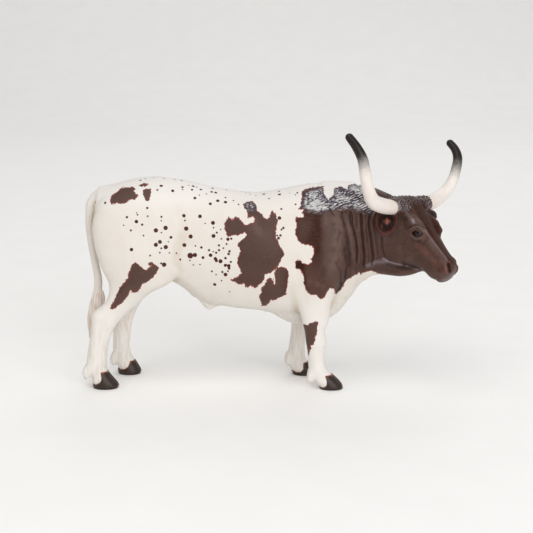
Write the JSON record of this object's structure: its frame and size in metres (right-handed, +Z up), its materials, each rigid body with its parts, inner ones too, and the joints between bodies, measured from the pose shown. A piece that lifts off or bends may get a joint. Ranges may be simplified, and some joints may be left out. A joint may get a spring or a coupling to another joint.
{
  "type": "toy longhorn figure",
  "caption": "Moulded toy figure of a standing Texas longhorn with patched white and brown coat, long upswept horns and its head turned to one side.",
  "frame": {"origin": "middle of the figure's box in plan, at the level of the soles", "axes": "+X towards the muzzle's end, +Y to the animal's left, +Z up"},
  "size_m": [0.159, 0.0708, 0.1073],
  "materials": {
    "coat_white": "warm white paint on moulded vinyl, satin",
    "coat_brown": "chocolate brown paint on moulded vinyl, satin",
    "horn_paint": "cream paint with dark brown tips, half gloss",
    "hoof_paint": "dark brown paint, half gloss",
    "eye_gloss": "black paint, gloss"
  },
  "bodies": {
    "root": {"torso": "coat_white", "neck": "coat_brown", "head": "coat_brown", "ear_right": "coat_brown", "ear_left": "coat_brown", "eye_right": "eye_gloss", "eye_left": "eye_gloss", "horn_right": "horn_paint", "horn_left": "horn_paint", "foreleg_right": "coat_white", "foreleg_left": "coat_white", "hindleg_right": "coat_white", "hindleg_left": "coat_white", "hoof_fore_right": "hoof_paint", "hoof_fore_left": "hoof_paint", "hoof_hind_right": "hoof_paint", "hoof_hind_left": "hoof_paint", "tail": "coat_white", "tail_switch": "coat_white"}
  },
  "joints": []
}
